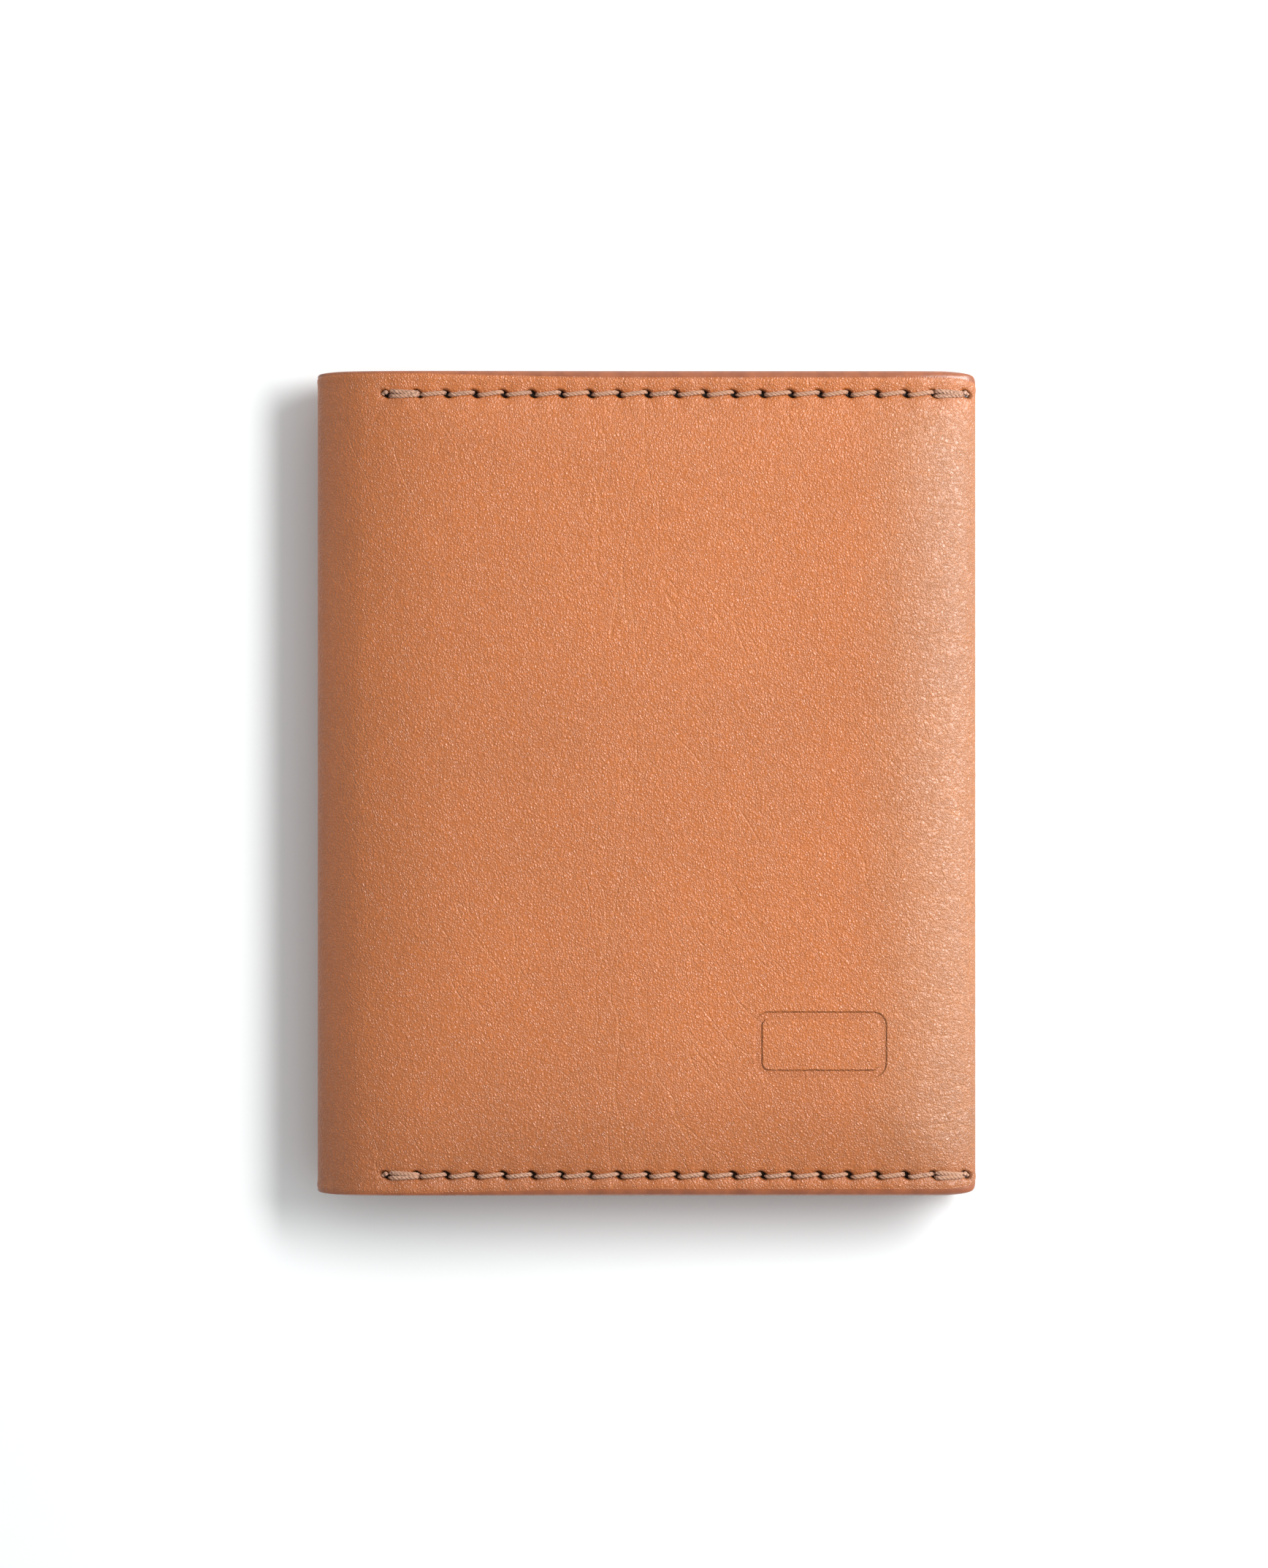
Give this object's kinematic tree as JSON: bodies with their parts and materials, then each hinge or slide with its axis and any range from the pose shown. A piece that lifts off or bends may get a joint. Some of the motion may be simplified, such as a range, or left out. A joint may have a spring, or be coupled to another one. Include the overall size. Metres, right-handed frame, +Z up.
{
  "type": "bifold wallet",
  "caption": "Closed leather bifold wallet whose two sewn halves open flat about a soft half-round fold, with card pockets and a note sleeve in each half.",
  "frame": {"origin": "under the middle of the closed wallet, on the plane that its back cover rests on", "axes": "+X from the fold to the turned fore edges, +Y along the fold towards the top edge, +Z up through the closed wallet's thickness"},
  "size_m": [0.084, 0.105, 0.0122],
  "materials": {
    "cover_leather": "smooth full-grain, satin, tan",
    "pocket_leather": "smooth, skived, satin, tan",
    "lining_cloth": "plain woven, matt, dark brown",
    "board": "bonded leather board, matt",
    "thread": "bonded twisted polyester, taupe"
  },
  "bodies": {
    "back_half": {"back_shell": "cover_leather", "back_board": "board", "back_lining": "lining_cloth", "back_sleeve_divider": "pocket_leather", "back_rear_pocket": "pocket_leather", "back_front_pocket": "pocket_leather", "back_top_thread": "thread", "back_bottom_thread": "thread"},
    "fold_back": {"spine_leather_back": "cover_leather", "spine_lining_back": "lining_cloth"},
    "fold_front": {"spine_leather_front": "cover_leather", "spine_lining_front": "lining_cloth"},
    "front_half": {"front_shell": "cover_leather", "front_board": "board", "front_lining": "lining_cloth", "front_sleeve_divider": "pocket_leather", "front_rear_pocket": "pocket_leather", "front_front_pocket": "pocket_leather", "front_top_thread": "thread", "front_bottom_thread": "thread"}
  },
  "joints": [
    {"name": "back_crease", "type": "hinge", "parent": "back_half", "child": "fold_back", "pos_m": [-0.03909, 0, 0.00057], "axis": [0, -1, 0], "range_deg": [0, 60]},
    {"name": "middle_crease", "type": "hinge", "parent": "fold_back", "child": "fold_front", "pos_m": [-0.04229, 0, 0.0061], "axis": [0, -1, 0], "range_deg": [0, 60]},
    {"name": "front_crease", "type": "hinge", "parent": "fold_front", "child": "front_half", "pos_m": [-0.03909, 0, 0.01163], "axis": [0, -1, 0], "range_deg": [0, 60]}
  ],
  "couplings": [
    {"joint": "middle_crease", "follows": "back_crease", "ratio": 1},
    {"joint": "front_crease", "follows": "back_crease", "ratio": 1}
  ]
}
